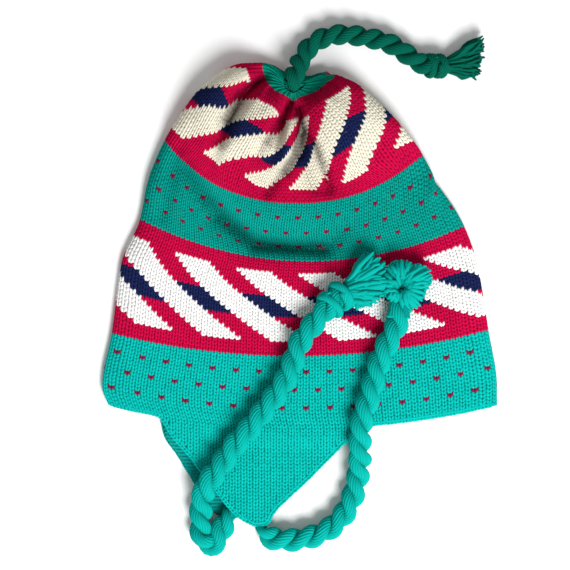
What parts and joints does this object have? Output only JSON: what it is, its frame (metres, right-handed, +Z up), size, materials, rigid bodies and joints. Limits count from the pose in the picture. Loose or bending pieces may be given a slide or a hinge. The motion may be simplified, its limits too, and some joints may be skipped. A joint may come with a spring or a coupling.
{
  "type": "earflap hat",
  "caption": "Knitted ski hat with patterned bands, two earflaps ending in twisted tie cords, and a tasselled cord at the gathered crown, lying flat.",
  "frame": {"origin": "on the surface it lies on, under the centre of the knitted hat's bounding box", "axes": "+Z up from that surface; +Y from the earflaps to the crown; +X from the nape edge to the forehead edge"},
  "size_m": [0.2466, 0.3307, 0.0351],
  "materials": {
    "patterned_knit": "stockinette knit in green, crimson, white and navy yarn",
    "dark_green_yarn": "soft twisted yarn",
    "green_yarn": "soft twisted yarn"
  },
  "bodies": {
    "root": {"knitted_hat": "patterned_knit", "top_cord": "dark_green_yarn", "top_cord_knot": "dark_green_yarn", "top_cord_tassel": "dark_green_yarn", "nape_tie": "green_yarn", "nape_tie_knot": "green_yarn", "nape_tie_tassel": "green_yarn", "front_tie": "green_yarn", "front_tie_tassel": "green_yarn"}
  },
  "joints": []
}
